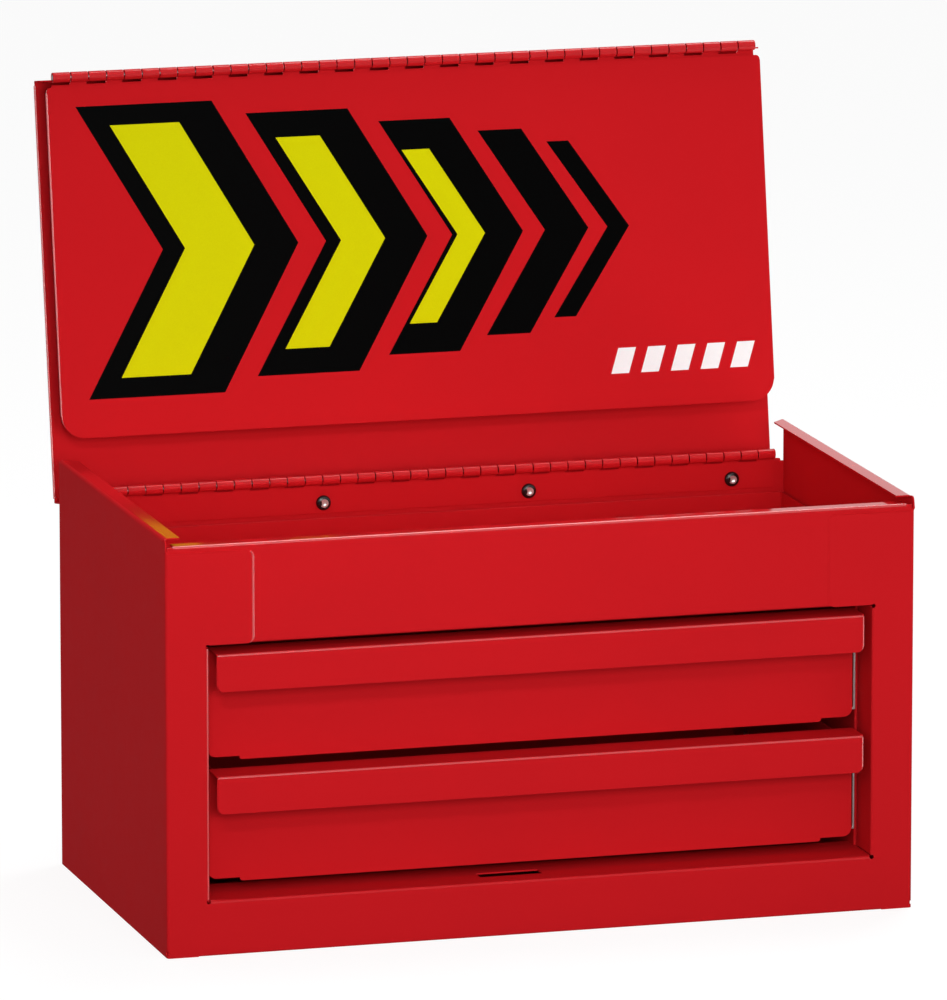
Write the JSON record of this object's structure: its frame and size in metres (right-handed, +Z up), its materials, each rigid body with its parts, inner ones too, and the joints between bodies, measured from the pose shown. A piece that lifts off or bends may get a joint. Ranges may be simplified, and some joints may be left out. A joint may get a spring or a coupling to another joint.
{
  "type": "portable tool box with drawers",
  "caption": "Folded steel tool box with sliding drawers under an open compartment, a hinged lid and a drop-down front cover folded against the lid.",
  "frame": {"origin": "centre of the flat underside", "axes": "+X to the right seen from the front, the drawers open toward -Y, +Z up"},
  "size_m": [0.53, 0.3645, 0.5533],
  "materials": {
    "red_powder_coat": "satin red powder coat on sheet steel",
    "zinc_plate": "bright zinc plate on rolled steel",
    "black_steel": "black oxide steel",
    "black_grip": "matt black moulded rubber"
  },
  "bodies": {
    "case": {"case_shell": "red_powder_coat", "upper_front_panel": "red_powder_coat", "bottom_panel": "red_powder_coat", "back_panel": "red_powder_coat", "compartment_pan": "red_powder_coat", "left_slide_carrier": "red_powder_coat", "right_slide_carrier": "red_powder_coat", "upper_left_case_slide": "zinc_plate", "upper_right_case_slide": "zinc_plate", "lower_left_case_slide": "zinc_plate", "lower_right_case_slide": "zinc_plate", "case_slide_screws": "zinc_plate", "rear_hinge_case_leaf": "red_powder_coat", "rear_hinge_pin": "zinc_plate", "rear_hinge_screws": "black_steel", "rear_hinge_nuts": "black_steel"},
    "lid": {"lid_panel": "red_powder_coat", "rear_hinge_lid_leaf": "red_powder_coat", "front_hinge_lid_leaf": "red_powder_coat", "front_hinge_pin": "zinc_plate", "left_handle_bracket": "black_steel", "right_handle_bracket": "black_steel", "handle_rivets": "zinc_plate"},
    "cover": {"cover_panel": "red_powder_coat", "front_hinge_cover_leaf": "red_powder_coat"},
    "handle": {"handle_bail": "black_steel", "handle_grip": "black_grip"},
    "upper_drawer": {"upper_drawer_body": "red_powder_coat", "upper_drawer_front": "red_powder_coat", "upper_drawer_slide_screws": "zinc_plate", "upper_left_drawer_slide": "zinc_plate", "upper_right_drawer_slide": "zinc_plate"},
    "upper_middle_slides": {"upper_left_middle_slide": "zinc_plate", "upper_right_middle_slide": "zinc_plate"},
    "upper_outer_cages": {"upper_outer_ball_cages": "zinc_plate"},
    "upper_inner_cages": {"upper_inner_ball_cages": "zinc_plate"},
    "lower_drawer": {"lower_drawer_body": "red_powder_coat", "lower_drawer_front": "red_powder_coat", "lower_drawer_slide_screws": "zinc_plate", "lower_left_drawer_slide": "zinc_plate", "lower_right_drawer_slide": "zinc_plate"},
    "lower_middle_slides": {"lower_left_middle_slide": "zinc_plate", "lower_right_middle_slide": "zinc_plate"},
    "lower_outer_cages": {"lower_outer_ball_cages": "zinc_plate"},
    "lower_inner_cages": {"lower_inner_ball_cages": "zinc_plate"}
  },
  "joints": [
    {"name": "lid_swing", "type": "hinge", "parent": "case", "child": "lid", "pos_m": [0, 0.1404, 0.2648], "axis": [1, 0, 0], "range_deg": [0, 99.5]},
    {"name": "cover_swing", "type": "hinge", "parent": "lid", "child": "cover", "pos_m": [0, 0.19244, 0.54972], "axis": [1, 0, 0], "range_deg": [-180, 0]},
    {"name": "handle_swing", "type": "hinge", "parent": "lid", "child": "handle", "pos_m": [0, 0.20421, 0.39647], "axis": [1, 0, 0], "range_deg": [-9, 170]},
    {"name": "upper_drawer_slide", "type": "slide", "parent": "case", "child": "upper_drawer", "axis": [0, -1, 0], "range_m": [0, 0.215]},
    {"name": "upper_middle_slides_slide", "type": "slide", "parent": "case", "child": "upper_middle_slides", "axis": [0, -1, 0], "range_m": [0, 0.1075]},
    {"name": "upper_outer_cages_slide", "type": "slide", "parent": "case", "child": "upper_outer_cages", "axis": [0, -1, 0], "range_m": [0, 0.05375]},
    {"name": "upper_inner_cages_slide", "type": "slide", "parent": "case", "child": "upper_inner_cages", "axis": [0, -1, 0], "range_m": [0, 0.16125]},
    {"name": "lower_drawer_slide", "type": "slide", "parent": "case", "child": "lower_drawer", "axis": [0, -1, 0], "range_m": [0, 0.215]},
    {"name": "lower_middle_slides_slide", "type": "slide", "parent": "case", "child": "lower_middle_slides", "axis": [0, -1, 0], "range_m": [0, 0.1075]},
    {"name": "lower_outer_cages_slide", "type": "slide", "parent": "case", "child": "lower_outer_cages", "axis": [0, -1, 0], "range_m": [0, 0.05375]},
    {"name": "lower_inner_cages_slide", "type": "slide", "parent": "case", "child": "lower_inner_cages", "axis": [0, -1, 0], "range_m": [0, 0.16125]}
  ],
  "couplings": [
    {"joint": "cover_swing", "follows": "lid_swing", "ratio": -1.8},
    {"joint": "upper_middle_slides_slide", "follows": "upper_drawer_slide", "ratio": 0.5},
    {"joint": "upper_outer_cages_slide", "follows": "upper_drawer_slide", "ratio": 0.25},
    {"joint": "upper_inner_cages_slide", "follows": "upper_drawer_slide", "ratio": 0.75},
    {"joint": "lower_middle_slides_slide", "follows": "lower_drawer_slide", "ratio": 0.5},
    {"joint": "lower_outer_cages_slide", "follows": "lower_drawer_slide", "ratio": 0.25},
    {"joint": "lower_inner_cages_slide", "follows": "lower_drawer_slide", "ratio": 0.75}
  ]
}
